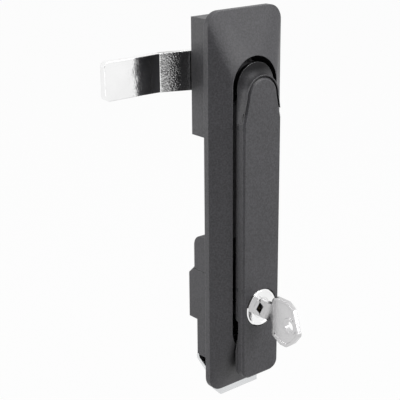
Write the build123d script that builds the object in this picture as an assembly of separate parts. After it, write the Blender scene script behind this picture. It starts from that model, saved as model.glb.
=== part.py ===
"""Swing handle lock for a cabinet door.

The dish fills a 150 x 25 mm cut-out and its rim lies on the door's outer face. A head turns in the
dish's round pocket, and its spindle turns the cranked cam behind the door. The lever is hinged on
the head: its foot lifts out of the dish, and the lever then turns through 90 degrees. A keyed plug
in the lever turns a hook under a catch in the dish.

Millimetres. X right, Y into the door, Z up. The origin is on the spindle's axis, in the plane of
the door's outer face. A height is measured out of the door, so a point at height h has Y = -h,
and a depth is measured into it. A span is a pair of heights or of Z values.
"""

import os
from functools import cache
from math import cos, radians, sin

from build123d import *

# ---- Driving dimensions -------------------------------------------------------------------

# dish
dish_width = 38.6
dish_top = 29.3  # above the spindle
dish_bottom = -132.7
dish_corner = 6.5
rim_height = 2.6
crest_height = 8.6  # the dish slopes up from its rim to a crest round the pocket
crest_half_width = 11.8
crest_top = 11.4
crest_bottom = -115.8
crest_corner = 11.7
crest_land = 0.2  # flat between the crest's outline and the pocket
pocket_depth = 4.5
wall = 1.8
dish_parting = -16.0  # the moulding is two solids that touch here, so each keeps close hulls

# rear of the dish, which passes the door's cut-out
rear_width = 24.6
box_top = 25.0
box_bottom = -23.3
box_depth = 16.0
housing_top = -66.8
housing_corner = 5.0
housing_depth = 15.5
housing_step_top = -81.8
housing_step = 3.6
housing_step_bottom = -106.0
foot_block_depth = 13.9
foot_block_bottom = -122.5
housing_line_z = -82.4  # a groove across each side of the housing
housing_line = 0.5
housing_line_depth = 0.3
rib = 1.5

# bearing
spindle_radius = 6.0
running_gap = 0.05
press_gap = 0.01
bush_wall = 1.4
bush_flange = 1.2
bearing_wall = 2.0
bearing_end = 10.6
thrust_washer_thickness = 0.8
seal_width = 2.0
seal_depth = 6.0
clip_thickness = 1.0
clip_groove = 0.8
clip_opening = 40.0  # degrees
clip_end_gap = 0.4
square_size = 8.0
square_gap = 0.05
stop_thickness = 2.0
stop_radius = 7.4
stop_hub_radius = 6.4
stop_reach = 10.0
stop_lobe_angle = 30.0
stop_rest_angle = 135.0  # of the lobe, from X towards Z
stop_post_angle = 16.0
stop_post_set_back = 0.4  # from the spindle box's open back
stop_play = 1.0  # degrees past each end of the turn
turn_angle = 90.0

# cam
cam_thickness = 3.0
cam_gap = 0.8  # between the dish's back and the cam
cam_hub_radius = 9.5
cam_end = -51.0
cam_crank_start = -11.8
cam_crank_end = -24.4
cam_crank = 4.4
cam_taper_end = -34.0
cam_low = -4.7
cam_high = 10.8
cam_root_spread = 0.5  # the root is this much wider than the tip, each side
cam_corner = 2.0
cam_bend = 1.5
cam_washer_radius = 7.0
cam_washer_thickness = 1.5
square_set_back = 0.3  # of the spindle's end inside the cam's back

# head and hinge
head_gap = 0.4
head_disc_height = -0.5
washer_set_in = 0.5  # of the thrust washer's rim from the head's
knuckle_half_width = 4.4
knuckle_wall = 1.6
pin_radius = 1.3
pin_half_length = 7.6
pin_height = 8.2
pin_z = -2.0
hinge_gap = 0.3
ear_half_width = 8.0
ear_wall = 1.1
neck_low = -8.5
lift_angle = 30.0

# lever
lever_underside = 8.9
lever_front = 13.6
lever_half_width = 10.25  # at the underside
lever_bottom = -126.0
lever_corner = 4.6
dome_radius = 9.7  # the lever's round end dips into the dish's pocket
dome_z = -0.9
dome_low = 6.6
dome_draft = 0.5
dome_end = -3.0
head_waist = 10.4  # the head's slope is hollow, and this is its middle section
head_waist_radius = 8.9
head_waist_z = -2.9
head_front = 13.2
head_front_radius = 8.7
head_front_z = -4.4
cover_half_width = 10.1
cover_top = 3.4
cover_arc = 7.8
cover_arc_run = 9.8  # the cover widens from its arc over this length
cover_edge = 0.9
cover_thickness = 1.5
cover_gap = 0.15
groove = 0.35
split_height = 9.9
skirt = 1.0
side_wall = 0.9
cover_boss_height = 1.0
deck = 1.0
solid_head_end = -17.0
notch_top = -98.4
notch_lead = 1.2
notch_height = 10.4
notch_flat_end = -105.0
notch_bottom = -113.5
cover_screw_spots = (-26.0, -70.0, -119.0)
cover_boss_radius = 2.6

# lock
lock_z = -94.6
lock_face = 13.9
lock_flange = 1.8
lock_flange_radius = 8.05
lock_gap = 0.35
lock_edge = 0.4
lock_ring_width = 1.2
lock_recess = 0.15
barrel_radius = 5.6
barrel_end = 10.0
shelf = 0.8
lock_clip_radius = 6.2
lock_clip_groove = 0.5
lock_clip_thickness = 0.6
lock_clip_opening = 60.0  # degrees
plug_radius = 4.4
keyway_mouth_half_width = 3.05  # a pointed recess round the keyway
keyway_mouth_half_height = 4.1
keyway_mouth_depth = 0.5
tail_size = 3.6
hook_clear = 0.35  # over the crest
hook_thickness = 0.7
hook_width = 5.0
hook_reach = 7.4
hook_eye_wall = 1.0
wafer_count = 3
wafer_pitch = 1.0
wafer_thickness = 0.6
wafer_half_width = 2.2
wafer_half_height = 3.6
wafer_corner = 1.0
wafer_first = 10.6
lock_bay_top = -86.4  # the deck is open from here to the notch's foot
lever_parting = -85.0  # the lever is two solids that touch here, so each keeps close hulls

# catch
catch_half_width = 4.0
catch_lip = 0.75
catch_lip_gap = 0.2
catch_lip_end = -101.2
catch_post = 2.4
catch_base = 2.0
catch_base_end = -112.6
catch_screw_z = -109.6

# key
key_thickness = 2.0
key_blade_width = 6.0
key_tip = 10.5
key_tip_gap = 0.2
keyway_gap = 0.08
key_neck_width = 8.0
key_neck_gap = 0.2  # over the lock's face
key_shoulder = 21.0
key_shoulder_high = 7.0  # the shoulder's ends, from the lock's axis
key_shoulder_low = -9.6
key_bow_high = 7.9
key_bow_low = -12.2
key_bow_end = 36.8
key_bow_end_z = -5.0
key_bow_cut_high = 2.4  # from the shoulder to the bow's upper and lower edges
key_bow_cut_low = 5.4
key_bow_flat_high = 6.5  # length of the upper edge
key_bow_flat_low = 3.5
key_bow_side_high = 2.4  # the bow's slopes on each side of its end
key_bow_side_low = 2.6
key_bow_corner = 2.2
key_rim = 1.3
key_field = 0.35
key_hole_radius = 2.3
key_hole_z = -2.3
key_hole_height = 31.3

# clamp
clamp_thickness = 1.5
clamp_recess = 1.0  # in the foot block's back, for the clamp's tab
clamp_tab_half_width = 9.8
clamp_foot_depth = 2.2  # the thickest door sheet that it grips
clamp_foot_bottom = -139.0
clamp_top = -108.0
clamp_bend_drop = 1.4  # the bend starts this far below the foot block
clamp_bend_foot = -131.0
clamp_bend = 2.0
clamp_corner = 3.4
clamp_window_width = 12.0
clamp_window_height = 2.6
clamp_screw_z = -115.4
insert_length = 7.0
insert_room = 1.0  # behind an insert, and past a screw's end
insert_wall = 1.2
top_insert_z = 18.4
insert_boss_wall = 1.3

# screws: shank radius, head radius, head height, length under the head, socket across flats
M5_screw = (2.5, 4.25, 3.2, 9.0, 4.0)
cam_screw_size = (2.5, 4.25, 3.2, 11.0, 4.0)
M3_screw = (1.5, 2.7, 1.2, 8.0, 2.0)
cover_screw_size = (1.1, 2.2, 0.9, 2.8, 1.3)
socket_share = 0.6  # of the head's height
screw_gap = 0.02
hole_gap = 0.25
screw_end_gap = 0.2

# ---- Sizes that follow --------------------------------------------------------------------

dish_middle = (dish_top + dish_bottom) / 2
crest_middle = (crest_top + crest_bottom) / 2
rear_half = rear_width / 2
inside_half = rear_half - wall
floor_back = pocket_depth + wall
pocket_half_width = crest_half_width - crest_land
clamp_seat = foot_block_depth - clamp_recess
bush_radius = spindle_radius + running_gap + bush_wall
bearing_radius = bush_radius + bearing_wall
head_radius = inside_half - head_gap
seal_inner_radius = spindle_radius - seal_width
head_back = pocket_depth - thrust_washer_thickness
cam_front = box_depth + cam_gap
cam_back = cam_front + cam_thickness
bush_back = bearing_end + bush_flange
journal_end = bush_back + clip_thickness + clip_end_gap
cover_under = lever_front - cover_thickness
deck_height = cover_under - cover_boss_height
skirt_foot = split_height + cover_gap
inner_half = cover_half_width - skirt - cover_gap
cover_arc_z = cover_top - cover_arc
cover_arc_end = cover_arc_z - cover_arc_run
barrel_seat = lock_face - lock_flange
plug_face = lock_face - lock_recess
key_neck_foot = lock_face + key_neck_gap
hook_low = crest_height + hook_clear
hook_high = hook_low + hook_thickness
catch_under = hook_high + catch_lip_gap
catch_top = catch_under + catch_lip
knuckle_radius = pin_radius + knuckle_wall
ear_radius = pin_radius + ear_wall
insert_radius = M5_screw[0] + insert_wall
housing_inner_bottom = housing_step_bottom + wall


# ---- Helpers ------------------------------------------------------------------------------


def front(height):
    """Sketch plane at a height, facing out of the door, with X right and Z up."""
    return Plane.XZ.offset(height)


def slab(sketch, low, high):
    """A front-view sketch as a slab between two heights."""
    return extrude(front(low) * sketch, high - low)


def disc(radius, low, high, x=0.0, z=0.0):
    """A round slab on an axis across the door."""
    return slab(Pos(x, z) * Circle(radius), low, high)


def ring(outer, inner, low, high, x=0.0, z=0.0):
    """A round slab with a hole."""
    return slab(Pos(x, z) * (Circle(outer) - Circle(inner)), low, high)


def block(x_span, z_span, low, high):
    """A rectangular slab between two X, two Z and two heights."""
    width = abs(x_span[1] - x_span[0])
    height = abs(z_span[1] - z_span[0])
    spot = Pos(sum(x_span) / 2, sum(z_span) / 2)
    return slab(spot * Rectangle(width, height), low, high)


def both(half_width):
    """The X span of a half width each side of the middle."""
    return (-half_width, half_width)


def across(profile, half_width):
    """A side-view profile, drawn as (depth, Z), as a body of a half width each side of X = 0."""
    return extrude(Plane.YZ * profile, half_width, both=True)


def closed(*points):
    """A closed face through straight-sided points."""
    return make_face(Polyline(*points, close=True))


def parted(body, cut):
    """The solids on each side of a plane, its normal's side first, which touch there."""
    return [split(body, cut, keep=side).solid() for side in (Keep.TOP, Keep.BOTTOM)]


def sector(radius, start, sweep):
    """A pie slice about the origin, with its angles from X towards Z."""
    arc = CenterArc((0, 0), radius, start, sweep)
    return make_face([Line((0, 0), arc @ 0), arc, Line(arc @ 1, (0, 0))])


def screw(size, seat, direction, x=0.0, z=0.0):
    """A socket screw whose head sits at a height; direction 1 drives it into the door."""
    shank, head, head_height, length, flats = size
    head_end = seat + direction * head_height
    body = disc(head, min(seat, head_end), max(seat, head_end), x, z)
    tip = seat - direction * length
    body += disc(shank, min(seat, tip), max(seat, tip), x, z)
    socket = Pos(x, z) * RegularPolygon(flats / 2, 6, major_radius=False)
    socket_floor = head_end - direction * head_height * socket_share
    body -= slab(socket, min(head_end, socket_floor), max(head_end, socket_floor))
    return body


# ---- Dish ---------------------------------------------------------------------------------


def pocket():
    """The drafted space with round ends that takes the head and the room below the lever."""
    high = SlotOverall(crest_top - crest_bottom - 2 * crest_land, 2 * pocket_half_width, 90)
    length = crest_top - crest_bottom - 2 * (crest_half_width - inside_half)
    low = SlotOverall(length, 2 * inside_half, 90)
    middle = Pos(0, crest_middle)
    sections = [front(-pocket_depth) * middle * low, front(crest_height) * middle * high]
    return loft([section.face() for section in sections])


def dish_shell():
    """The rim, and the faces that slope up from it to the crest."""
    rim = Pos(0, dish_middle) * RectangleRounded(dish_width, dish_top - dish_bottom, dish_corner)
    size = (2 * crest_half_width, crest_top - crest_bottom, crest_corner)
    crest = Pos(0, crest_middle) * RectangleRounded(*size)
    sections = [(front(rim_height) * rim).face(), (front(crest_height) * crest).face()]
    return slab(rim, 0, rim_height) + loft(sections, ruled=True)


def housing_profile(inset):
    """Side view of the lower housing, drawn in by a wall for its inside."""
    top = housing_top - inset
    back = housing_depth - inset
    deep = back + housing_step
    profile = closed(
        (0, top),
        (back, top),
        (back, housing_step_top),
        (deep, housing_step_top - housing_step),
        (deep, housing_step_bottom + inset),
        (0, housing_step_bottom + inset),
    )
    corner = profile.vertices().sort_by(Axis.Y)[-2:].sort_by(Axis.X)[-1]
    return fillet(corner, housing_corner - inset)


def dish_rear():
    """The bodies behind the rim: spindle box, shallow floor, lock housing and foot block."""
    body = block(both(rear_half), (box_bottom, box_top), -box_depth, 0)
    body += block(both(rear_half), (housing_top, box_bottom), -floor_back, 0)
    body += across(housing_profile(0), rear_half)
    body += block(both(rear_half), (foot_block_bottom, housing_step_bottom), -foot_block_depth, 0)
    tab_room = both(clamp_tab_half_width + hole_gap)
    recess = (foot_block_bottom, housing_step_bottom)
    body -= block(tab_room, recess, -foot_block_depth, -clamp_seat)
    line_span = (housing_line_z - housing_line, housing_line_z)
    for side in (-1, 1):
        groove = (side * rear_half, side * (rear_half - housing_line_depth))
        body -= block(groove, line_span, -housing_depth, 0)
    return body


def bearing_supports():
    """What stands inside the open back of the spindle box."""
    inside = (box_bottom + wall, box_top - wall)
    body = disc(bearing_radius, -bearing_end, -floor_back)
    body += block(both(rib / 2), inside, -bearing_end, -floor_back)
    body += disc(insert_radius + insert_boss_wall, -box_depth, -floor_back, z=top_insert_z)
    past_rest = stop_rest_angle + stop_lobe_angle / 2 + stop_play
    past_turn = stop_rest_angle - turn_angle - stop_lobe_angle / 2 - stop_play - stop_post_angle
    for start in (past_rest, past_turn):
        post = sector(2 * rear_half, start, stop_post_angle) - Circle(stop_radius + head_gap)
        post &= Rectangle(2 * inside_half, 2 * inside_half)
        body += slab(post, stop_post_set_back - box_depth, -bush_back - stop_post_set_back)
    return body


@cache
def dish_moulding():
    """The whole moulding, parted into its nodes where a plane crosses it."""
    body = dish_shell() + dish_rear()
    box_inside = (box_bottom + wall, box_top - wall)
    body -= block(both(inside_half), box_inside, -box_depth, -floor_back)
    body += bearing_supports() & block(both(rear_half), (box_bottom, box_top), -box_depth, 0)
    body -= pocket()
    body -= across(housing_profile(wall), inside_half)
    body -= disc(bush_radius, -bearing_end, -pocket_depth)
    insert_depth = insert_length + insert_room
    for z, back in ((top_insert_z, box_depth), (clamp_screw_z, clamp_seat)):
        body -= disc(insert_radius + press_gap, -back, -back + insert_depth, z=z)
    catch_hole = M3_screw[3] - catch_base + screw_end_gap
    body -= disc(M3_screw[0] + screw_gap, -pocket_depth - catch_hole, -pocket_depth, z=catch_screw_z)
    rear_box = block(both(rear_half), (box_bottom, box_top), -box_depth, -floor_back)
    below_boss = top_insert_z - insert_radius - insert_boss_wall
    upper, lower = parted(body - rear_box, Plane((0, 0, dish_parting)))
    return lower, upper, parted((body & rear_box).solid(), Plane((0, 0, below_boss)))


def dish():
    """The moulding below the head: the channel for the lever, the housing and the foot block."""
    return dish_moulding()[0]


def dish_head_end():
    """The moulding round the head, down to the floor's back."""
    return dish_moulding()[1]


def spindle_box():
    """The open-backed box behind the head, with the bearing tube, its ribs and the boss."""
    return Compound(dish_moulding()[2])


# ---- Head, spindle and bearing ------------------------------------------------------------


def swivel_head():
    """Cast head with its spindle: a disc in the pocket, a knuckle for the hinge and a square end."""
    pin = (-pin_height, pin_z)
    lift = radians(lift_angle)
    inward = (cos(lift), -sin(lift))  # the lever's dome faces this way when lifted
    along = (sin(lift), cos(lift))
    reach = pin_height - dome_low + hinge_gap
    start = (pin[0] + reach * inward[0], pin[1] + reach * inward[1])
    run = (-head_disc_height - start[0]) / along[0]
    stop_top = (-head_disc_height, start[1] + run * along[1])
    neck = closed((pin[0], pin_z - knuckle_radius), (-head_disc_height, neck_low), stop_top, start)
    body = across(neck + Pos(*pin) * Circle(knuckle_radius), knuckle_half_width)
    body &= disc(head_radius, head_disc_height, lever_front)
    body += disc(head_radius, -head_back, head_disc_height)
    body -= across(Pos(*pin) * Circle(pin_radius + running_gap), rear_half)
    body += disc(spindle_radius, -journal_end, -head_back)
    square_end = cam_back - square_set_back
    body += slab(Rectangle(square_size, square_size), -square_end, -journal_end)
    seal_span = (-seal_depth - seal_width - screw_gap, screw_gap - seal_depth)
    body -= ring(rear_half, seal_inner_radius - press_gap, *seal_span)
    clip_span = (-bush_back - clip_thickness - running_gap, -bush_back)
    body -= ring(rear_half, spindle_radius - clip_groove, *clip_span)
    tapped = cam_screw_size[3] - cam_washer_thickness + insert_room
    body -= disc(cam_screw_size[0] + screw_gap, -cam_back, -cam_back + tapped)
    return body


def thrust_washer():
    """Between the head and the pocket's floor."""
    return ring(head_radius - washer_set_in, bush_radius, -pocket_depth, -head_back)


def spindle_bush():
    """Flanged bush, pushed into the bearing tube from behind."""
    bore = spindle_radius + running_gap
    body = ring(bush_radius - press_gap, bore, -bush_back, -pocket_depth)
    return body + ring(bearing_radius, bore, -bush_back, -bearing_end)


def spindle_seal():
    """Square-section ring in the spindle's groove."""
    outer = spindle_radius + running_gap / 2
    return ring(outer, seal_inner_radius, -seal_depth - seal_width, -seal_depth)


def circlip():
    """Keeps the head in its bush."""
    inner = spindle_radius - clip_groove
    outer = bush_radius
    body = ring(outer, inner + press_gap, -bush_back - clip_thickness, -bush_back)
    opening = sector(2 * outer, -90 - clip_opening / 2, clip_opening) - Circle(inner / 2)
    return body - slab(opening, -bush_back - clip_thickness, -bush_back)


def stop_disc():
    """On the spindle's square: its lobe meets a post of the dish at each end of the turn."""
    face = -journal_end
    lobe_start = stop_rest_angle - stop_lobe_angle / 2
    body = disc(stop_radius, face - stop_thickness, face)
    body += slab(sector(stop_reach, lobe_start, stop_lobe_angle), face - stop_thickness, face)
    body += disc(stop_hub_radius, -cam_front, face)
    hole = square_size + 2 * square_gap
    return body - slab(Rectangle(hole, hole), -cam_front, face)


# ---- Cam ----------------------------------------------------------------------------------


def cam():
    """Cranked plate: a hub on the spindle's square and an arm that reaches behind the frame."""
    line = Polyline(
        (cam_hub_radius, cam_front),
        (cam_crank_start, cam_front),
        (cam_crank_end, cam_front + cam_crank),
        (cam_end, cam_front + cam_crank),
    )
    strip = make_face(offset(line, cam_thickness, side=Side.RIGHT, kind=Kind.INTERSECTION))
    plate = extrude(strip, 2 * cam_hub_radius, both=True)
    bends = plate.edges().filter_by(Axis.Z).sort_by(Axis.X)[2:-2]
    plate = fillet(bends, cam_bend)
    arm = closed(
        (0, cam_low - cam_root_spread),
        (cam_taper_end, cam_low),
        (cam_end, cam_low),
        (cam_end, cam_high),
        (cam_taper_end, cam_high),
        (0, cam_high + cam_root_spread),
    )
    arm = fillet(arm.vertices().sort_by(Axis.X)[:2], cam_corner)
    body = plate & slab(arm + Circle(cam_hub_radius), -cam_back - cam_crank, -cam_front)
    hole = square_size + 2 * square_gap
    return body - slab(Rectangle(hole, hole), -cam_back, -cam_front)


def cam_washer():
    """Under the cam's screw."""
    seat = -cam_back
    inner = cam_screw_size[0] + hole_gap
    return ring(cam_washer_radius, inner, seat - cam_washer_thickness, seat)


def cam_screw():
    """Holds the cam on the spindle, from behind."""
    return screw(cam_screw_size, -cam_back - cam_washer_thickness, -1)


# ---- Lever --------------------------------------------------------------------------------


def cover_outline(inset):
    """Front view of the cover: an arc over the hinge, widening to a bar with rounded corners."""
    half = cover_half_width - inset
    low = lever_bottom + (lever_half_width - cover_half_width) + inset
    arc = Pos(0, cover_arc_z) * Circle(cover_arc - inset)
    shoulder = closed(
        (cover_arc - inset, cover_arc_z),
        (half, cover_arc_end),
        (-half, cover_arc_end),
        (inset - cover_arc, cover_arc_z),
    )
    bar = Pos(0, (cover_arc_end + low) / 2) * Rectangle(2 * half, cover_arc_end - low)
    bar = fillet(bar.vertices().sort_by(Axis.Y)[:2], lever_corner - inset)
    return arc + shoulder + bar


def lever_outline():
    """Front view of the lever's foot, a bar with rounded corners at its lower end."""
    length = cover_arc_end - lever_bottom
    bar = Pos(0, cover_arc_end - length / 2) * Rectangle(2 * lever_half_width, length)
    return fillet(bar.vertices().sort_by(Axis.Y)[:2], lever_corner)


def head_section(height, radius, z, half_width):
    """Section of the lever's head: round in front of the spindle, and straight down to the bar."""
    arc = CenterArc((0, z), radius, 0, 180)
    foot = ((-half_width, cover_arc_end), (half_width, cover_arc_end))
    outline = [arc, Line(arc @ 1, foot[0]), Line(*foot), Line(foot[1], arc @ 0)]
    return (front(height) * make_face(outline)).face()


def lever_head():
    """The lever's round end: it dips into the pocket, and slopes in to the cover in front."""
    sections = [
        head_section(lever_underside, dome_radius, dome_z, lever_half_width),
        head_section(head_waist, head_waist_radius, head_waist_z, cover_half_width),
        head_section(head_front, head_front_radius, head_front_z, cover_half_width),
    ]
    middle = Pos(0, dome_z)
    tip = front(dome_low) * middle * Circle(dome_radius - dome_draft)
    rim = front(lever_underside) * middle * Circle(dome_radius)
    dome = loft([tip.face(), rim.face()])
    dome -= block(both(rear_half), (dome_z - rear_half, dome_end), 0, lever_underside)
    wall_top = (solid_head_end, cover_arc_end)
    return loft(sections) + dome + block(both(inner_half), wall_top, lever_underside, cover_under)


def hinge_ears():
    """Two ears below the lever, which hold the pin."""
    eye = Pos(-pin_height, pin_z) * Circle(ear_radius)
    root_height = lever_underside + 1 - pin_height
    root = Pos(-pin_height - root_height / 2, pin_z) * Rectangle(root_height, 2 * ear_radius)
    return across(eye + root, ear_half_width)


def notch():
    """The space below the lever beside its lock, which runs out towards the lower end."""
    profile = closed(
        (0, notch_top),
        (-lever_underside, notch_top),
        (-notch_height, notch_top - notch_lead),
        (-notch_height, notch_flat_end),
        (-lever_underside, notch_bottom),
        (0, notch_bottom),
    )
    return across(profile, rear_half)


def lever():
    """Lever: a foot band, side walls and a deck below the cover, and the hinge end."""
    band = slab(lever_outline(), lever_underside, split_height)
    tray = slab(cover_outline(cover_half_width - inner_half), lever_underside, cover_under)
    hollow = cover_outline(cover_half_width - inner_half + side_wall)
    room = block(both(lever_half_width), (lever_bottom, solid_head_end), 0, lever_front)
    body = band + tray - (slab(hollow, lever_underside, cover_under) & room)
    lock_room = block(both(lever_half_width), (notch_bottom, lock_bay_top), 0, lever_front)
    body += (slab(hollow, deck_height - deck, deck_height) & room) - lock_room
    shelf_plate = slab(hollow, barrel_seat - shelf, barrel_seat) & lock_room
    body += shelf_plate - disc(barrel_radius + hole_gap / 2, 0, lever_front, z=lock_z)
    body += lever_head()
    body -= slab(cover_outline(-groove), cover_under, lever_front)
    body += hinge_ears()
    slot = (pin_z - knuckle_radius - hinge_gap, pin_z + knuckle_radius + hinge_gap)
    body -= block(both(knuckle_half_width + hinge_gap), slot, 0, cover_under)
    body -= across(Pos(-pin_height, pin_z) * Circle(pin_radius + press_gap), pin_half_length)
    body -= notch()
    for z in cover_screw_spots:
        body -= disc(cover_screw_size[0] + hole_gap / 2, 0, cover_under, z=z)
    return Compound(parted(body, Plane((0, 0, lever_parting))))


def lever_cover():
    """Cover shell with a bevelled front edge, a skirt and a boss over each screw."""
    body = slab(cover_outline(0), skirt_foot, lever_front)
    body = chamfer(body.faces().sort_by(Axis.Y)[0].edges(), cover_edge)
    body -= slab(cover_outline(skirt), skirt_foot, cover_under)
    body -= block(both(rear_half), (cover_arc_end, dish_top), skirt_foot, cover_under)
    for z in cover_screw_spots:
        body += disc(cover_boss_radius, deck_height, cover_under, z=z)
        thread_end = deck_height - deck + cover_screw_size[3] + screw_end_gap
        body -= disc(cover_screw_size[0] + screw_gap, deck_height, thread_end, z=z)
    body -= disc(lock_flange_radius + lock_gap, cover_under, lever_front, z=lock_z)
    return body - notch()


def cover_screws():
    """Three screws through the lever's deck, from below."""
    seat = deck_height - deck
    return Compound([screw(cover_screw_size, seat, -1, z=z) for z in cover_screw_spots])


def hinge_pin():
    """Joins the lever's ears to the head's knuckle."""
    return across(Pos(-pin_height, pin_z) * Circle(pin_radius), pin_half_length)


# ---- Lock ---------------------------------------------------------------------------------


def lock_barrel():
    """Flanged barrel that sits on the lever's shelf."""
    body = disc(lock_flange_radius, barrel_seat, lock_face, z=lock_z)
    body = chamfer(body.faces().sort_by(Axis.Y)[0].edges(), lock_edge)
    face_radius = lock_flange_radius - lock_ring_width
    body -= disc(face_radius, lock_face - lock_recess, lock_face, z=lock_z)
    body += disc(barrel_radius, barrel_end, barrel_seat, z=lock_z)
    body -= disc(plug_radius + running_gap, barrel_end, lock_face, z=lock_z)
    clip_top = barrel_seat - shelf
    groove_radius = barrel_radius - lock_clip_groove
    groove_span = (clip_top - lock_clip_thickness, clip_top)
    return body - ring(lock_flange_radius, groove_radius, *groove_span, z=lock_z)


def lock_clip():
    """Holds the barrel up against the shelf."""
    clip_top = barrel_seat - shelf
    inner = barrel_radius - lock_clip_groove + press_gap
    body = ring(lock_clip_radius, inner, clip_top - lock_clip_thickness, clip_top, z=lock_z)
    start = 90 - lock_clip_opening / 2
    opening = sector(2 * lock_clip_radius, start, lock_clip_opening) - Circle(inner / 2)
    opening = Pos(0, lock_z) * opening
    return body - slab(opening, clip_top - lock_clip_thickness, clip_top)


def wafer_heights():
    """Heights of the wafers' lower faces."""
    return [wafer_first + n * wafer_pitch for n in range(wafer_count)]


def key_slot(gap):
    """The blade's section with a gap around it."""
    return Pos(0, lock_z) * Rectangle(key_thickness + 2 * gap, key_blade_width + 2 * gap)


def lock_plug():
    """Plug with its keyway, its wafer slots and a square tail for the hook."""
    body = disc(plug_radius, barrel_end, plug_face, z=lock_z)
    tail = Pos(0, lock_z) * Rectangle(tail_size, tail_size)
    body += slab(tail, hook_low, barrel_end)
    body -= slab(key_slot(keyway_gap), key_tip - key_tip_gap, plug_face)
    mouth = closed(
        (keyway_mouth_half_width, lock_z),
        (0, lock_z + keyway_mouth_half_height),
        (-keyway_mouth_half_width, lock_z),
        (0, lock_z - keyway_mouth_half_height),
    )
    body -= slab(mouth, plug_face - keyway_mouth_depth, plug_face)
    gap = keyway_gap / 2
    slot = Pos(0, lock_z) * Rectangle(2 * (wafer_half_width + gap), 2 * (wafer_half_height + gap))
    for low in wafer_heights():
        body -= slab(slot, low - gap, low + wafer_thickness + gap)
    return body


def wafers():
    """Thin plates round the blade, in line with the plug when the key is in."""
    plate = Pos(0, lock_z) * Rectangle(2 * wafer_half_width, 2 * wafer_half_height)
    plate = chamfer(plate.vertices(), wafer_corner) - key_slot(keyway_gap / 2)
    return Compound([slab(plate, low, low + wafer_thickness) for low in wafer_heights()])


def lock_hook():
    """Stamped hook on the plug's tail. It points to the side when the lock is open."""
    arm = Pos(hook_reach / 2, lock_z) * Rectangle(hook_reach, hook_width)
    tip = Pos(0, lock_z) * Circle(hook_reach)
    hole = Pos(0, lock_z) * Rectangle(tail_size + 2 * screw_gap, tail_size + 2 * screw_gap)
    face = (arm & tip) + Pos(0, lock_z) * Circle(hook_width / 2 + hook_eye_wall) - hole
    return slab(face, hook_low, hook_high)


def key_bow():
    """Side view of the bow, as (depth, Z) from the lock's axis."""
    flat_high = key_shoulder + key_bow_cut_high + key_bow_flat_high
    flat_low = key_shoulder + key_bow_cut_low + key_bow_flat_low
    side_high = (flat_high + key_bow_end) / 2
    side_low = (flat_low + key_bow_end) / 2
    bow = closed(
        (-key_shoulder, key_shoulder_high),
        (-key_shoulder - key_bow_cut_high, key_bow_high),
        (-flat_high, key_bow_high),
        (-side_high, key_bow_high - key_bow_side_high),
        (-key_bow_end, key_bow_end_z),
        (-side_low, key_bow_low + key_bow_side_low),
        (-flat_low, key_bow_low),
        (-key_shoulder - key_bow_cut_low, key_bow_low),
        (-key_shoulder, key_shoulder_low),
    )
    return fillet(bow.vertices(), key_bow_corner)


def key():
    """Flat key: a blade in the plug, a wider neck, and a bow with a raised rim and a hole."""
    bow = Pos(0, lock_z) * key_bow()
    eye = Pos(-key_hole_height, lock_z + key_hole_z)
    half = key_thickness / 2
    field = offset(bow, -key_rim) - eye * Circle(key_hole_radius + key_rim)
    body = across(bow - eye * Circle(key_hole_radius), half)
    body -= across(field, half) - across(field, half - key_field)
    neck = Pos(0, lock_z) * Rectangle(key_thickness, key_neck_width)
    body += slab(neck, key_neck_foot, key_shoulder + key_rim)
    return body + slab(key_slot(0), key_tip, key_neck_foot)


# ---- Catch and clamp ----------------------------------------------------------------------


def catch():
    """Bracket on the pocket's floor, whose lip stands over the hook when the lock is shut."""
    floor = -pocket_depth
    post_span = (housing_inner_bottom - catch_post, housing_inner_bottom)
    body = block(both(catch_half_width), post_span, floor, catch_top)
    base_span = (catch_base_end, housing_inner_bottom)
    body += block(both(catch_half_width), base_span, floor, floor + catch_base)
    lip_span = (housing_inner_bottom, catch_lip_end)
    body += block(both(catch_half_width), lip_span, catch_under, catch_top)
    return body - disc(M3_screw[0] + hole_gap, floor, floor + catch_base, z=catch_screw_z)


def catch_screw():
    """Fixes the catch in the dish."""
    return screw(M3_screw, -pocket_depth + catch_base, 1, z=catch_screw_z)


def threaded_inserts():
    """Brass inserts for the clamp's screw and for a fixing above the spindle."""
    inserts = []
    for z, back in ((top_insert_z, box_depth), (clamp_screw_z, clamp_seat)):
        inner = M5_screw[0] + screw_gap
        inserts.append(ring(insert_radius, inner, -back, -back + insert_length, z=z))
    return Compound(inserts)


def clamp_bracket():
    """Bent strip that grips the door's inner face below the dish."""
    foot_back = clamp_foot_depth + clamp_thickness
    line = Polyline(
        (clamp_seat, clamp_top),
        (clamp_seat, foot_block_bottom - clamp_bend_drop),
        (clamp_foot_depth, clamp_bend_foot),
        (clamp_foot_depth, clamp_foot_bottom),
    )
    strip = make_face(offset(line, clamp_thickness, side=Side.LEFT, kind=Kind.INTERSECTION))
    body = across(strip, rear_half)
    bends = body.edges().filter_by(Axis.X).sort_by(Axis.Z)[2:-2]
    body = fillet(bends, clamp_bend)
    face = Pos(0, (clamp_top + clamp_foot_bottom) / 2) * Rectangle(
        rear_width, clamp_top - clamp_foot_bottom
    )
    left_corner = face.vertices().sort_by(Axis.Y)[:2].sort_by(Axis.X)[0]
    face = chamfer(left_corner, clamp_corner)
    tab = (foot_block_bottom - screw_end_gap, clamp_top)
    face -= Pos(0, sum(tab) / 2) * Rectangle(rear_width, tab[1] - tab[0])
    face += Pos(0, sum(tab) / 2) * Rectangle(2 * clamp_tab_half_width, tab[1] - tab[0])
    window_z = (foot_block_bottom - clamp_bend_drop + clamp_bend_foot) / 2
    face -= Pos(0, window_z) * Rectangle(clamp_window_width, clamp_window_height)
    body &= slab(face, -box_depth, 0)
    hole = M5_screw[0] + hole_gap
    return body - disc(hole, -clamp_seat - clamp_thickness, -foot_back, z=clamp_screw_z)


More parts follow.
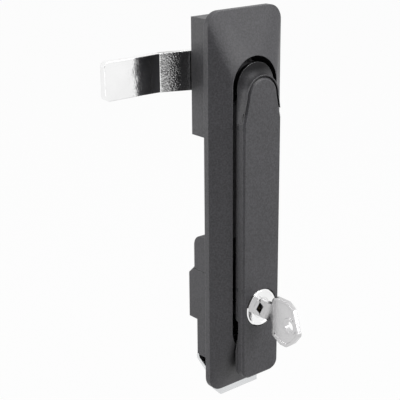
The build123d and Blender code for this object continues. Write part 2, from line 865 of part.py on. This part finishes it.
def clamp_screw():
    """Draws the clamp to the dish."""
    return screw(M5_screw, -clamp_seat - clamp_thickness, -1, z=clamp_screw_z)


# ---- Assembly -----------------------------------------------------------------------------

BUILDERS = (
    dish,
    dish_head_end,
    spindle_box,
    spindle_bush,
    thrust_washer,
    threaded_inserts,
    catch,
    catch_screw,
    clamp_bracket,
    clamp_screw,
    swivel_head,
    spindle_seal,
    circlip,
    stop_disc,
    cam,
    cam_washer,
    cam_screw,
    hinge_pin,
    lever,
    lever_cover,
    cover_screws,
    lock_barrel,
    lock_clip,
    lock_plug,
    wafers,
    lock_hook,
    key,
)

os.makedirs("parts", exist_ok=True)
for build in BUILDERS:
    export_step(build(), f"parts/{build.__name__}.step")
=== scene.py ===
# %% [markdown]
# # Swing handle lock
#
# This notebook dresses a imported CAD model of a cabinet's swing handle lock. The solids, their
# sizes and their joints come from the frame. What is added here is what a solid can't carry: the
# finish of each material, the light and the camera. Everything is in metres, with +Z up along the
# dish and +Y into the door.

from math import radians

import bpy
from mathutils import Matrix, Vector


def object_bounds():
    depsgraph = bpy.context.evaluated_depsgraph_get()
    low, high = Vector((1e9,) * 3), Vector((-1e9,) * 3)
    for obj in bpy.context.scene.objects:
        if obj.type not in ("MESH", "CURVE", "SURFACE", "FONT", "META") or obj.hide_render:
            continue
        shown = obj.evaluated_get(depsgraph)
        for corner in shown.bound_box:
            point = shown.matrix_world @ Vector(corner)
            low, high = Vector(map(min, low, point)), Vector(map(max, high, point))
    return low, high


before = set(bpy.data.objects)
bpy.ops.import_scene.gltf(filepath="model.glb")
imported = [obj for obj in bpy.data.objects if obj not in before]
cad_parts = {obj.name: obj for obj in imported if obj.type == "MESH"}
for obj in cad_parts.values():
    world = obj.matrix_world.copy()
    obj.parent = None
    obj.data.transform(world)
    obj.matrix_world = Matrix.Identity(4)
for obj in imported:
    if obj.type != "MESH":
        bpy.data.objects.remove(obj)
cad_low, cad_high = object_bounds()
print("CAD box in mm:", [round(side * 1000, 1) for side in cad_high - cad_low])
print("CAD nodes:", len(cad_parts))

# %% [markdown]
# ## The camera
#
# The lock is looked at from its left and from above, because that shows the dish, the lever, the
# key and the cam in one picture. A long lens keeps the long edges nearly parallel. The camera is
# placed with a matrix: first the place, then the turn about the vertical, then the tilt, and last
# a very small roll.

# %% Camera
camera_place = Vector((-0.27935, -0.31266, 0.09138))
camera_turn = radians(-39.5)
camera_tilt = radians(71.302)
camera_roll = radians(-0.51)
lens_mm = 95.8

lens = bpy.data.cameras.new("camera")
lens.lens = lens_mm
lens.sensor_width = 36.0
lens.clip_start = 0.01
camera = bpy.data.objects.new("camera", lens)
bpy.context.scene.collection.objects.link(camera)
camera.matrix_world = (
    Matrix.Translation(camera_place)
    @ Matrix.Rotation(camera_turn, 4, "Z")
    @ Matrix.Rotation(camera_tilt, 4, "X")
    @ Matrix.Rotation(camera_roll, 4, "Z")
)
bpy.context.scene.camera = camera
print("camera to spindle:", round(camera_place.length * 1000), "mm")

# %% [markdown]
# ## Small helpers for node trees
#
# A material is a graph, and wiring it by hand takes several lines for each node. Two helpers keep
# the cells short: `add` makes a node and fills its inputs, where a value that is itself a socket
# becomes a link, and `new_group` makes an empty node group with named sockets.


# %% Node helpers
def add(tree, kind, inputs=None, **settings):
    """A node of this kind, with its properties set and its inputs filled or linked."""
    node = tree.nodes.new(kind)
    for name, value in settings.items():
        setattr(node, name, value)
    for name, value in (inputs or {}).items():
        if isinstance(value, bpy.types.NodeSocket):
            tree.links.new(value, node.inputs[name])
        else:
            node.inputs[name].default_value = value
    return node


def new_group(name, inputs, outputs):
    """An empty node group. Sockets are given as (name, socket type, default)."""
    tree = bpy.data.node_groups.new(name, "ShaderNodeTree")
    for title, kind, default in inputs:
        socket = tree.interface.new_socket(title, in_out="INPUT", socket_type=kind)
        if default is not None:
            socket.default_value = default
    for title, kind in outputs:
        tree.interface.new_socket(title, in_out="OUTPUT", socket_type=kind)
    return tree, tree.nodes.new("NodeGroupInput"), tree.nodes.new("NodeGroupOutput")


def place_group(tree, group, **inputs):
    """A node group placed in a material, with its own values."""
    values = {title.replace("_", " "): value for title, value in inputs.items()}
    return add(tree, "ShaderNodeGroup", values, node_tree=group)


FLOAT = "NodeSocketFloat"
VECTOR = "NodeSocketVector"
print("helpers ready: add, new_group, place_group")

# %% [markdown]
# ## Moulded grain
#
# Glass-filled nylon comes out of a spark-eroded mould, so its surface is a fine, even grain of
# rounded pits, about two thirds of a millimetre from one to the next. A noise texture in object
# coordinates gives it at its real scale, because the object's coordinates are metres. A second,
# much larger noise stands for the slight cloudiness that glass fibre leaves in the skin.


# %% Group: moulded grain
grain, grain_in, grain_out = new_group(
    "moulded grain",
    [
        ("Grain size", FLOAT, 0.0003),
        ("Contrast", FLOAT, 0.12),
        ("Cloud", FLOAT, 0.1),
        ("Roughness", FLOAT, 0.5),
    ],
    [("Height", FLOAT), ("Tint", FLOAT), ("Roughness", FLOAT)],
)
coords = add(grain, "ShaderNodeTexCoord")
per_metre = add(grain, "ShaderNodeMath", {0: 1.0, 1: grain_in.outputs["Grain size"]}, operation="DIVIDE")
pits = add(
    grain,
    "ShaderNodeTexNoise",
    {"Vector": coords.outputs["Object"], "Scale": per_metre.outputs[0], "Detail": 2.0, "Roughness": 0.55},
)
clouds = add(
    grain,
    "ShaderNodeTexNoise",
    {"Vector": coords.outputs["Object"], "Scale": 55.0, "Detail": 3.0, "Roughness": 0.6},
)
cloud_shift = add(
    grain,
    "ShaderNodeMapRange",
    {"Value": clouds.outputs["Fac"], "From Min": 0.3, "From Max": 0.7, "To Min": -1.0, "To Max": 1.0},
)
cloud_share = add(
    grain, "ShaderNodeMath", {0: cloud_shift.outputs[0], 1: grain_in.outputs["Cloud"]}, operation="MULTIPLY"
)
pit_shift = add(
    grain,
    "ShaderNodeMapRange",
    {"Value": pits.outputs["Fac"], "From Min": 0.35, "From Max": 0.65, "To Min": -1.0, "To Max": 1.0},
)
pit_share = add(
    grain,
    "ShaderNodeMath",
    {0: pit_shift.outputs[0], 1: grain_in.outputs["Contrast"], 2: 1.0},
    operation="MULTIPLY_ADD",
)
tint = add(grain, "ShaderNodeMath", {0: pit_share.outputs[0], 1: cloud_share.outputs[0]}, operation="ADD")
rough_shift = add(
    grain,
    "ShaderNodeMath",
    {0: cloud_share.outputs[0], 1: 0.5, 2: grain_in.outputs["Roughness"]},
    operation="MULTIPLY_ADD",
)
grain.links.new(pits.outputs["Fac"], grain_out.inputs["Height"])
grain.links.new(tint.outputs[0], grain_out.inputs["Tint"])
grain.links.new(rough_shift.outputs[0], grain_out.inputs["Roughness"])
print("grain group sockets:", [s.name for s in grain.interface.items_tree])

# %% [markdown]
# ## Worn edges and a painted highlight
#
# Corners of a moulding or a plated stamping are never knife sharp. The Bevel node gives the
# normal that a rounded edge would have, and where that normal leaves the true one there is an
# edge. The group puts out both: the rounded normal, which catches a thin highlight, and a mask
# for the colour or the roughness. On the mouldings the mask lightens the colour, partly as wear
# and partly as a painted highlight.
#
# The dish and the lever are mouldings that the model holds as several solids each. Where two of
# them touch there is no edge to see, so close to those planes the group gives the true normal and
# no mask.


# %% Group: worn edges, which also mark a painted highlight
edges, edges_in, edges_out = new_group(
    "worn edges",
    [("Radius", FLOAT, 0.0003), ("Contrast", FLOAT, 2.0)],
    [("Mask", FLOAT), ("Normal", VECTOR)],
)
rounded = add(edges, "ShaderNodeBevel", {"Radius": edges_in.outputs["Radius"]}, samples=4)
true_normal = add(edges, "ShaderNodeNewGeometry")
agreement = add(
    edges,
    "ShaderNodeVectorMath",
    {0: rounded.outputs["Normal"], 1: true_normal.outputs["Normal"]},
    operation="DOT_PRODUCT",
)
away = add(edges, "ShaderNodeMath", {0: 1.0, 1: agreement.outputs["Value"]}, operation="SUBTRACT")
mask = add(
    edges,
    "ShaderNodeMath",
    {0: away.outputs[0], 1: edges_in.outputs["Contrast"]},
    operation="MULTIPLY",
    use_clamp=True,
)

coords = add(edges, "ShaderNodeTexCoord")
place = add(edges, "ShaderNodeSeparateXYZ", {0: coords.outputs["Object"]})
touching_planes = [("Z", -0.016), ("Z", -0.085), ("Z", 0.0134), ("Y", 0.0063)]
seam_half_width = 0.0008
off_seam = None
for axis, level in touching_planes:
    near = add(
        edges,
        "ShaderNodeMath",
        {0: place.outputs[axis], 1: level, 2: seam_half_width},
        operation="COMPARE",
    )
    clear = add(edges, "ShaderNodeMath", {0: 1.0, 1: near.outputs[0]}, operation="SUBTRACT")
    if off_seam is None:
        off_seam = clear
    else:
        off_seam = add(
            edges, "ShaderNodeMath", {0: off_seam.outputs[0], 1: clear.outputs[0]}, operation="MULTIPLY"
        )
edge_mask = add(edges, "ShaderNodeMath", {0: mask.outputs[0], 1: off_seam.outputs[0]}, operation="MULTIPLY")
edge_normal = add(
    edges,
    "ShaderNodeMix",
    {
        "Factor": off_seam.outputs[0],
        "A": true_normal.outputs["Normal"],
        "B": rounded.outputs["Normal"],
    },
    data_type="VECTOR",
)
edges.links.new(edge_mask.outputs[0], edges_out.inputs["Mask"])
edges.links.new(edge_normal.outputs["Result"], edges_out.inputs["Normal"])
print("edge group sockets:", [s.name for s in edges.interface.items_tree])
print("planes left alone:", len(touching_planes))

# %% [markdown]
# ## Painted shade in crevices
#
# Little light reaches the bottom of a narrow gap, so the plastic is painted blacker beside the
# lock's flange and under the arch: a painted shade. The Ambient Occlusion node measures how closed
# in a point is, and the group turns that into one factor for the colour.


# %% Group: painted crevice shade
crevice, crevice_in, crevice_out = new_group(
    "painted crevice shade",
    [("Reach", FLOAT, 0.003), ("Darkest", FLOAT, 0.4)],
    [("Tint", FLOAT)],
)
closed_in = add(crevice, "ShaderNodeAmbientOcclusion", {"Distance": crevice_in.outputs["Reach"]}, samples=8)
# Painted shade: the colour darkens where the surface is closed in.
crevice_painted_shade = add(
    crevice,
    "ShaderNodeMapRange",
    {
        "Value": closed_in.outputs["AO"],
        "From Min": 0.4,
        "From Max": 0.95,
        "To Min": crevice_in.outputs["Darkest"],
        "To Max": 1.0,
    },
)
crevice.links.new(crevice_painted_shade.outputs[0], crevice_out.inputs["Tint"])
print("crevice group sockets:", [s.name for s in crevice.interface.items_tree])

# %% [markdown]
# ## Painted shade under the arch
#
# The lever's round end lies deep in the dish, below an arch that keeps light away. The group paints
# that shade: a factor for the colour that falls as a point nears the arch's crown along Z.


# %% Group: painted arch shade
arch, arch_in, arch_out = new_group(
    "painted arch shade",
    [("Clear below", FLOAT, 0.0), ("Dark above", FLOAT, 0.01), ("Darkest", FLOAT, 0.3)],
    [("Tint", FLOAT)],
)
coords = add(arch, "ShaderNodeTexCoord")
place = add(arch, "ShaderNodeSeparateXYZ", {0: coords.outputs["Object"]})
# Painted shade: darker towards the arch's crown.
painted_arch_factor = add(
    arch,
    "ShaderNodeMapRange",
    {
        "Value": place.outputs["Z"],
        "From Min": arch_in.outputs["Clear below"],
        "From Max": arch_in.outputs["Dark above"],
        "To Min": 1.0,
        "To Max": arch_in.outputs["Darkest"],
    },
)
arch.links.new(painted_arch_factor.outputs[0], arch_out.inputs["Tint"])
print("arch group sockets:", [s.name for s in arch.interface.items_tree])

# %% [markdown]
# ## Plated sheet
#
# Nickel and zinc lie on rolled sheet, which is not quite flat: long waves bend a reflection, and a
# fine orange peel breaks up its border. Two noises of very different scale give both as one
# height. The fine one also scatters faint dull specks, and the long one a slight change of tone.


# %% Group: plated sheet
plating, plating_in, plating_out = new_group(
    "plated sheet",
    [("Wave", FLOAT, 1.0), ("Peel", FLOAT, 1.0), ("Roughness", FLOAT, 0.1)],
    [("Height", FLOAT), ("Roughness", FLOAT), ("Tint", FLOAT)],
)
coords = add(plating, "ShaderNodeTexCoord")
long_waves = add(
    plating, "ShaderNodeTexNoise", {"Vector": coords.outputs["Object"], "Scale": 90.0, "Detail": 1.0}
)
orange_peel = add(
    plating, "ShaderNodeTexNoise", {"Vector": coords.outputs["Object"], "Scale": 1400.0, "Detail": 2.0}
)
wave_height = add(
    plating,
    "ShaderNodeMath",
    {0: long_waves.outputs["Fac"], 1: plating_in.outputs["Wave"]},
    operation="MULTIPLY",
)
height = add(
    plating,
    "ShaderNodeMath",
    {0: orange_peel.outputs["Fac"], 1: plating_in.outputs["Peel"], 2: wave_height.outputs[0]},
    operation="MULTIPLY_ADD",
)
dull = add(
    plating,
    "ShaderNodeMapRange",
    {"Value": orange_peel.outputs["Fac"], "From Min": 0.4, "From Max": 0.75, "To Min": 0.0, "To Max": 0.12},
)
roughness = add(
    plating, "ShaderNodeMath", {0: plating_in.outputs["Roughness"], 1: dull.outputs[0]}, operation="ADD"
)
fleck = add(
    plating,
    "ShaderNodeMapRange",
    {"Value": long_waves.outputs["Fac"], "From Min": 0.3, "From Max": 0.7, "To Min": 0.94, "To Max": 1.0},
)
plating.links.new(height.outputs[0], plating_out.inputs["Height"])
plating.links.new(roughness.outputs[0], plating_out.inputs["Roughness"])
plating.links.new(fleck.outputs[0], plating_out.inputs["Tint"])
print("plating group sockets:", [s.name for s in plating.interface.items_tree])

# %% [markdown]
# ## Forming marks and a painted darkening
#
# Where a plate is cranked the steel stretches and its skin turns rough before it is plated. The
# group puts out a fine height that is there between two places along X. It stops short at the
# start and dies away slowly toward the end. Its high places are painted darker: a painted
# reflection, standing for the dark, speckled reflection that the cranked plate gives.


# %% Group: forming marks, painted dark
forming, forming_in, forming_out = new_group(
    "forming marks, painted dark",
    [("Start", FLOAT, -0.02), ("End", FLOAT, 0.0)],
    [("Height", FLOAT), ("Tint", FLOAT)],
)
coords = add(forming, "ShaderNodeTexCoord")
place = add(forming, "ShaderNodeSeparateXYZ", {0: coords.outputs["Object"]})
stretched = add(
    forming, "ShaderNodeTexNoise", {"Vector": coords.outputs["Object"], "Scale": 1700.0, "Detail": 1.0}
)
short_fade, long_fade = 0.0008, 0.006
begins = add(forming, "ShaderNodeMath", {0: forming_in.outputs["Start"], 1: short_fade}, operation="ADD")
ends = add(forming, "ShaderNodeMath", {0: forming_in.outputs["End"], 1: long_fade}, operation="SUBTRACT")
risen = add(
    forming,
    "ShaderNodeMapRange",
    {"Value": place.outputs["X"], "From Min": forming_in.outputs["Start"], "From Max": begins.outputs[0]},
)
fallen = add(
    forming,
    "ShaderNodeMapRange",
    {
        "Value": place.outputs["X"],
        "From Min": ends.outputs[0],
        "From Max": forming_in.outputs["End"],
        "To Min": 1.0,
        "To Max": 0.0,
    },
)
within = add(forming, "ShaderNodeMath", {0: risen.outputs[0], 1: fallen.outputs[0]}, operation="MULTIPLY")
marks_height = add(
    forming, "ShaderNodeMath", {0: stretched.outputs["Fac"], 1: within.outputs[0]}, operation="MULTIPLY"
)
# Painted reflection: the high places of the marks darken the colour.
marks_painted_dark = add(
    forming,
    "ShaderNodeMapRange",
    {"Value": marks_height.outputs[0], "From Min": 0.1, "From Max": 0.65, "To Min": 1.0, "To Max": 0.3},
)
forming.links.new(marks_height.outputs[0], forming_out.inputs["Height"])
forming.links.new(marks_painted_dark.outputs[0], forming_out.inputs["Tint"])
print("forming group sockets:", [s.name for s in forming.interface.items_tree])

# %% [markdown]
# ## Black nylon
#
# The dish, the lever and its cover are one black, slightly grey plastic. The colour is a plain
# dark grey times the grain's tint and a painted shade in crevices, lifted a little along the edges,
# partly for wear where handling polishes it and partly as a painted highlight. The lever has the
# same plastic with a painted shade under the arch over its round end. A plastic keeps a clear gloss
# however dark it is, while a dark metal reflects only its own dark colour, so the painted shade also
# raises Metallic, and the gloss goes with the light.


# %% Materials: moulded plastics
def moulding(name, colour, grain_size, contrast, roughness, bump, cloud, edge_wear_and_highlight_colour, edge_radius, painted_arch_span=None):
    """A grained plastic with a painted shade in crevices and lighter, rounded edges, partly worn and partly a
    painted highlight. painted_arch_span is where the painted shade under the arch starts and is full.
    """
    material = bpy.data.materials.new(name)
    material.use_nodes = True
    tree = material.node_tree
    shader = tree.nodes["Principled BSDF"]
    surface = place_group(
        tree, grain, Grain_size=grain_size, Contrast=contrast, Cloud=cloud, Roughness=roughness
    )
    wear_and_highlight = place_group(tree, edges, Radius=edge_radius, Contrast=4.0)
    # Painted shade in crevices: the colour darkens where the surface is closed in.
    shade = place_group(tree, crevice, Reach=0.01, Darkest=0.12)
    grain_and_painted_shade = add(
        tree, "ShaderNodeMath", {0: surface.outputs["Tint"], 1: shade.outputs["Tint"]}, operation="MULTIPLY"
    )
    # Painted shade under the arch: the round end is coloured darker and made metallic, so its gloss darkens
    # too.
    if painted_arch_span:
        painted_arch_shade = place_group(tree, arch, Clear_below=painted_arch_span[0], Dark_above=painted_arch_span[1], Darkest=0.15)
        grain_and_painted_shade = add(
            tree, "ShaderNodeMath", {0: grain_and_painted_shade.outputs[0], 1: painted_arch_shade.outputs["Tint"]}, operation="MULTIPLY"
        )
        painted_gloss_loss = add(tree, "ShaderNodeMath", {0: 1.0, 1: painted_arch_shade.outputs["Tint"]}, operation="SUBTRACT")
        tree.links.new(painted_gloss_loss.outputs[0], shader.inputs["Metallic"])
    plain = add(
        tree,
        "ShaderNodeMix",
        {"Factor": 1.0, "A": (*colour, 1.0), "B": grain_and_painted_shade.outputs[0]},
        data_type="RGBA",
        blend_type="MULTIPLY",
    )
    # Lighter edges: partly wear, partly a painted highlight.
    worn_and_highlit_colour = add(
        tree,
        "ShaderNodeMix",
        {"Factor": wear_and_highlight.outputs["Mask"], "A": plain.outputs["Result"], "B": (*edge_wear_and_highlight_colour, 1.0)},
        data_type="RGBA",
    )
    relief = add(
        tree,
        "ShaderNodeBump",
        {
            "Height": surface.outputs["Height"],
            "Distance": bump,
            "Strength": 1.0,
            "Normal": wear_and_highlight.outputs["Normal"],
        },
    )
    tree.links.new(worn_and_highlit_colour.outputs["Result"], shader.inputs["Base Color"])
    tree.links.new(surface.outputs["Roughness"], shader.inputs["Roughness"])
    tree.links.new(relief.outputs["Normal"], shader.inputs["Normal"])
    return material


nylon_look = {
    "colour": (0.047, 0.046, 0.051),
    "grain_size": 0.0007,
    "contrast": 0.28,
    "roughness": 0.48,
    "bump": 0.00008,
    "cloud": 0.1,
    # The edge colour: partly wear, partly a painted highlight.
    "edge_wear_and_highlight_colour": (0.2, 0.2, 0.208),
    "edge_radius": 0.0004,
}
black_nylon = moulding("black nylon", **nylon_look)
# Where the lever's painted shade starts and where it is full, along Z.
lever_painted_shade_span = (-0.001, 0.0065)
nylon_with_painted_shade = moulding("black nylon with painted arch shade", **nylon_look, painted_arch_span=lever_painted_shade_span)
acetal = moulding(
    "acetal",
    colour=(0.72, 0.7, 0.65),
    grain_size=0.0006,
    contrast=0.04,
    roughness=0.35,
    bump=0.00001,
    cloud=0.03,
    edge_wear_and_highlight_colour=(0.8, 0.79, 0.75),
    edge_radius=0.0002,
)
rubber = moulding(
    "nitrile rubber",
    colour=(0.02, 0.02, 0.02),
    grain_size=0.0002,
    contrast=0.1,
    roughness=0.6,
    bump=0.00001,
    cloud=0.1,
    edge_wear_and_highlight_colour=(0.04, 0.04, 0.04),
    edge_radius=0.0001,
)
print("plastics:", [m.name for m in (black_nylon, nylon_with_painted_shade, acetal, rubber)])

# %% [markdown]
# ## Metals
#
# A plated metal is all reflection, so its look is its roughness and its relief. Bright nickel on
# the cam and the lock mirrors the black dish beside it. Zinc on the catch and the clamp is duller,
# and the head is a blackened die casting.


# %% Materials: metals
forming_depth = 0.0001


def metal(name, colour, roughness, wave, peel, bump, edge_radius, marks_and_painted_dark=None):
    """A plated or cast metal with long waves, an orange peel and, between two X, forming marks with a painted
    dark reflection.
    """
    material = bpy.data.materials.new(name)
    material.use_nodes = True
    tree = material.node_tree
    shader = tree.nodes["Principled BSDF"]
    surface = place_group(tree, plating, Wave=wave, Peel=peel, Roughness=roughness)
    wear_and_highlight = place_group(tree, edges, Radius=edge_radius, Contrast=3.0)
    tinted = add(
        tree,
        "ShaderNodeMix",
        {"Factor": 1.0, "A": (*colour, 1.0), "B": surface.outputs["Tint"]},
        data_type="RGBA",
        blend_type="MULTIPLY",
    )
    relief = add(
        tree,
        "ShaderNodeBump",
        {
            "Height": surface.outputs["Height"],
            "Distance": bump,
            "Strength": 1.0,
            "Normal": wear_and_highlight.outputs["Normal"],
        },
    )
    # Painted reflection: between these two X the forming marks darken the colour.
    if marks_and_painted_dark:
        marks = place_group(tree, forming, Start=marks_and_painted_dark[0], End=marks_and_painted_dark[1])
        tinted = add(
            tree,
            "ShaderNodeMix",
            {"Factor": 1.0, "A": tinted.outputs["Result"], "B": marks.outputs["Tint"]},
            data_type="RGBA",
            blend_type="MULTIPLY",
        )
        relief = add(
            tree,
            "ShaderNodeBump",
            {
                "Height": marks.outputs["Height"],
                "Distance": forming_depth,
                "Normal": relief.outputs["Normal"],
            },
        )
    tree.links.new(tinted.outputs["Result"], shader.inputs["Base Color"])
    tree.links.new(surface.outputs["Roughness"], shader.inputs["Roughness"])
    tree.links.new(relief.outputs["Normal"], shader.inputs["Normal"])
    shader.inputs["Metallic"].default_value = 1.0
    return material


crank_span = (-0.0244, -0.0118)
chrome_look = {"roughness": 0.06, "wave": 0.4, "peel": 0.05, "bump": 0.0001, "edge_radius": 0.0002}
chrome_colour = nickel_colour = (0.93, 0.93, 0.93)
bright_nickel = metal(
    "bright nickel",
    nickel_colour,
    roughness=0.05,
    wave=1.0,
    peel=0.12,
    bump=0.0002,
    edge_radius=0.0003,
    marks_and_painted_dark=crank_span,
)
lock_chrome = metal("lock chrome", chrome_colour, **chrome_look)
plug_chrome = metal("plug chrome", chrome_colour, **chrome_look)
key_nickel = metal(
    "key nickel",
    (0.62, 0.615, 0.62),
    roughness=0.16,
    wave=0.6,
    peel=0.1,
    bump=0.0001,
    edge_radius=0.0002,
)
zinc_plate = metal(
    "zinc plate",
    (0.74, 0.75, 0.76),
    roughness=0.22,
    wave=1.0,
    peel=0.3,
    bump=0.0001,
    edge_radius=0.0002,
)
brass = metal(
    "brass",
    (0.78, 0.58, 0.26),
    roughness=0.25,
    wave=0.5,
    peel=0.3,
    bump=0.00005,
    edge_radius=0.0001,
)
black_steel = metal(
    "blackened steel",
    (0.05, 0.05, 0.052),
    roughness=0.4,
    wave=0.6,
    peel=0.6,
    bump=0.0001,
    edge_radius=0.0002,
)
black_casting = metal(
    "black casting",
    (0.1, 0.1, 0.105),
    roughness=0.45,
    wave=0.6,
    peel=1.0,
    bump=0.0001,
    edge_radius=0.0002,
)
plated = (bright_nickel, lock_chrome, plug_chrome, key_nickel, zinc_plate)
print("plated metals:", [m.name for m in plated])
print("other metals:", [m.name for m in (brass, black_steel, black_casting)])

# %% [markdown]
# ## The keyway's mouth
#
# The plug's mouth is a shallow lozenge in the solids. The real one is a deep slot that no light
# comes back from, so inside that lozenge the plating gives way to a dull black: a painted shade. A
# lozenge is where the two distances from its middle, each as a share of its half size, add up to
# less than one.


# %% Paint the keyway's shade black
tree = plug_chrome.node_tree
shader = tree.nodes["Principled BSDF"]
mouth_middle_z = -0.0946
mouth_half_width, mouth_half_height = 0.00305, 0.0041
coords = add(tree, "ShaderNodeTexCoord")
place = add(tree, "ShaderNodeSeparateXYZ", {0: coords.outputs["Object"]})
aside = add(tree, "ShaderNodeMath", {0: place.outputs["X"]}, operation="ABSOLUTE")
across_share = add(
    tree, "ShaderNodeMath", {0: aside.outputs[0], 1: 1 / mouth_half_width}, operation="MULTIPLY"
)
from_middle = add(tree, "ShaderNodeMath", {0: place.outputs["Z"], 1: mouth_middle_z}, operation="SUBTRACT")
above = add(tree, "ShaderNodeMath", {0: from_middle.outputs[0]}, operation="ABSOLUTE")
both_shares = add(
    tree,
    "ShaderNodeMath",
    {0: above.outputs[0], 1: 1 / mouth_half_height, 2: across_share.outputs[0]},
    operation="MULTIPLY_ADD",
)
in_mouth = add(tree, "ShaderNodeMath", {0: both_shares.outputs[0], 1: 1.0}, operation="LESS_THAN")
plating_colour = shader.inputs["Base Color"].links[0].from_socket
# Painted shade: inside the lozenge the colour is a dull black.
painted_black_shade = add(
    tree,
    "ShaderNodeMix",
    {"Factor": in_mouth.outputs[0], "A": plating_colour, "B": (0.004, 0.004, 0.004, 1.0)},
    data_type="RGBA",
)
tree.links.new(painted_black_shade.outputs["Result"], shader.inputs["Base Color"])
mouth_mm = [round(half * 2000, 1) for half in (mouth_half_width, mouth_half_height)]
print("keyway mouth blackened, width and height in mm:", mouth_mm)

# %% [markdown]
# ## Which node has which finish


# %% Assign the finishes
finish_of = {
    "dish": black_nylon,
    "dish_head_end": black_nylon,
    "spindle_box": black_nylon,
    "lever": nylon_with_painted_shade,
    "lever_cover": black_nylon,
    "spindle_bush": acetal,
    "thrust_washer": acetal,
    "spindle_seal": rubber,
    "threaded_inserts": brass,
    "wafers": brass,
    "swivel_head": black_casting,
    "catch": black_steel,
    "catch_screw": black_steel,
    "lock_hook": black_steel,
    "lock_clip": black_steel,
    "cam": bright_nickel,
    "lock_barrel": lock_chrome,
    "lock_plug": plug_chrome,
    "key": key_nickel,
}
for name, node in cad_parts.items():
    node.data.materials.clear()
    node.data.materials.append(finish_of.get(name, zinc_plate))
print("finished nodes:", len(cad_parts))

# %% [markdown]
# ## Floor, world and lamps
#
# A plain white floor and a plain white world give the pale background. The object is lit by a few
# large soft lamps at a plain level, so that a colour renders about as it is written. What the
# camera and the mirrors see of the world is white, and what lights the object is a dimmer grey:
# Light Path tells the two apart.


# %% What the camera and the mirrors see
def seen_directly(tree):
    """One for a ray from the camera, off a mirror or through glass, and nought for the rest."""
    path = add(tree, "ShaderNodeLightPath")
    outer = add(
        tree,
        "ShaderNodeMath",
        {0: path.outputs["Is Camera Ray"], 1: path.outputs["Is Glossy Ray"]},
        operation="MAXIMUM",
    )
    either = add(
        tree,
        "ShaderNodeMath",
        {0: outer.outputs[0], 1: path.outputs["Is Transmission Ray"]},
        operation="MAXIMUM",
    )
    return either.outputs[0]


print("helper ready: seen_directly")

# %% Floor
floor_drop = 0.06
floor_half_side = 2.85
floor_mesh = bpy.data.meshes.new("floor")
floor_z = cad_low.z - floor_drop
corners = [(-1, -1), (1, -1), (1, 1), (-1, 1)]
floor_points = [(x * floor_half_side, y * floor_half_side, floor_z) for x, y in corners]
floor_mesh.from_pydata(floor_points, [], [(0, 1, 2, 3)])
floor = bpy.data.objects.new("floor", floor_mesh)
bpy.context.scene.collection.objects.link(floor)

floor_white = bpy.data.materials.new("floor white")
floor_white.use_nodes = True
tree = floor_white.node_tree
tree.nodes.clear()
seen_white = 0.96
diffuse = add(tree, "ShaderNodeBsdfDiffuse", {"Color": (0.5, 0.5, 0.5, 1.0)})
paper = add(tree, "ShaderNodeEmission", {"Color": (1.0, 1.0, 1.0, 1.0), "Strength": 1.0})
share = add(tree, "ShaderNodeMath", {0: seen_directly(tree), 1: seen_white}, operation="MULTIPLY")
mixed = add(tree, "ShaderNodeMixShader", {0: share.outputs[0], 1: diffuse.outputs[0], 2: paper.outputs[0]})
add(tree, "ShaderNodeOutputMaterial", {"Surface": mixed.outputs[0]})
floor.data.materials.append(floor_white)
print("floor at", round(floor_z * 1000, 1), "mm")

# %% World
world_light = 0.55
world = bpy.data.worlds.new("studio")
bpy.context.scene.world = world
world.use_nodes = True
tree = world.node_tree
background = tree.nodes["Background"]
strength = add(
    tree,
    "ShaderNodeMapRange",
    {"Value": seen_directly(tree), "To Min": world_light, "To Max": 1.0},
)
background.inputs["Color"].default_value = (1.0, 1.0, 1.0, 1.0)
tree.links.new(strength.outputs[0], background.inputs["Strength"])
print("world light:", world_light)


# %% [markdown]
# ## A black flag
#
# Black things are lit in a dark room, and that is what gives the nickel its black bands and keeps
# the nylon from looking grey. A large dark card stands on the camera's side. The camera looks
# through it, so it only shows in reflections.

# %% Flag
flag_distance = 0.9
flag_half_width = 0.75
flag_low, flag_high = 0.02, 1.2
flag_mesh = bpy.data.meshes.new("flag")
flag_mesh.from_pydata(
    [
        (-flag_half_width, 0, flag_low),
        (flag_half_width, 0, flag_low),
        (flag_half_width, 0, flag_high),
        (-flag_half_width, 0, flag_high),
    ],
    [],
    [(0, 1, 2, 3)],
)
flag = bpy.data.objects.new("flag", flag_mesh)
bpy.context.scene.collection.objects.link(flag)
flag.matrix_world = Matrix.Rotation(camera_turn, 4, "Z") @ Matrix.Translation((0, -flag_distance, floor_z))
flag.visible_camera = False
flag_black = bpy.data.materials.new("flag black")
flag_black.use_nodes = True
flag_black.node_tree.nodes["Principled BSDF"].inputs["Base Color"].default_value = (0.02, 0.02, 0.02, 1.0)
flag_black.node_tree.nodes["Principled BSDF"].inputs["Roughness"].default_value = 0.9
flag.data.materials.append(flag_black)
print("flag:", 2 * flag_half_width, "m wide at", flag_distance, "m")


# %% Lamps
def soft_lamp(name, place, target, size, power):
    """A square area lamp at a place, turned to a target."""
    lamp = bpy.data.lights.new(name, "AREA")
    lamp.size = size
    lamp.energy = power
    holder = bpy.data.objects.new(name, lamp)
    bpy.context.scene.collection.objects.link(holder)
    holder.location = place
    aim = Vector(target) - Vector(place)
    holder.rotation_euler = aim.to_track_quat("-Z", "Y").to_euler()
    return holder


middle = (0.0, 0.0, -0.05)
soft_lamp("top lamp", (0.1, -0.25, 0.75), middle, 0.6, 5.0)
soft_lamp("front lamp", (0.35, -0.8, 0.2), middle, 0.5, 3.0)
soft_lamp("side lamp", (-0.75, 0.42, 0.05), middle, 0.5, 3.0)

# %% View transform
bpy.context.scene.view_settings.view_transform = "Standard"
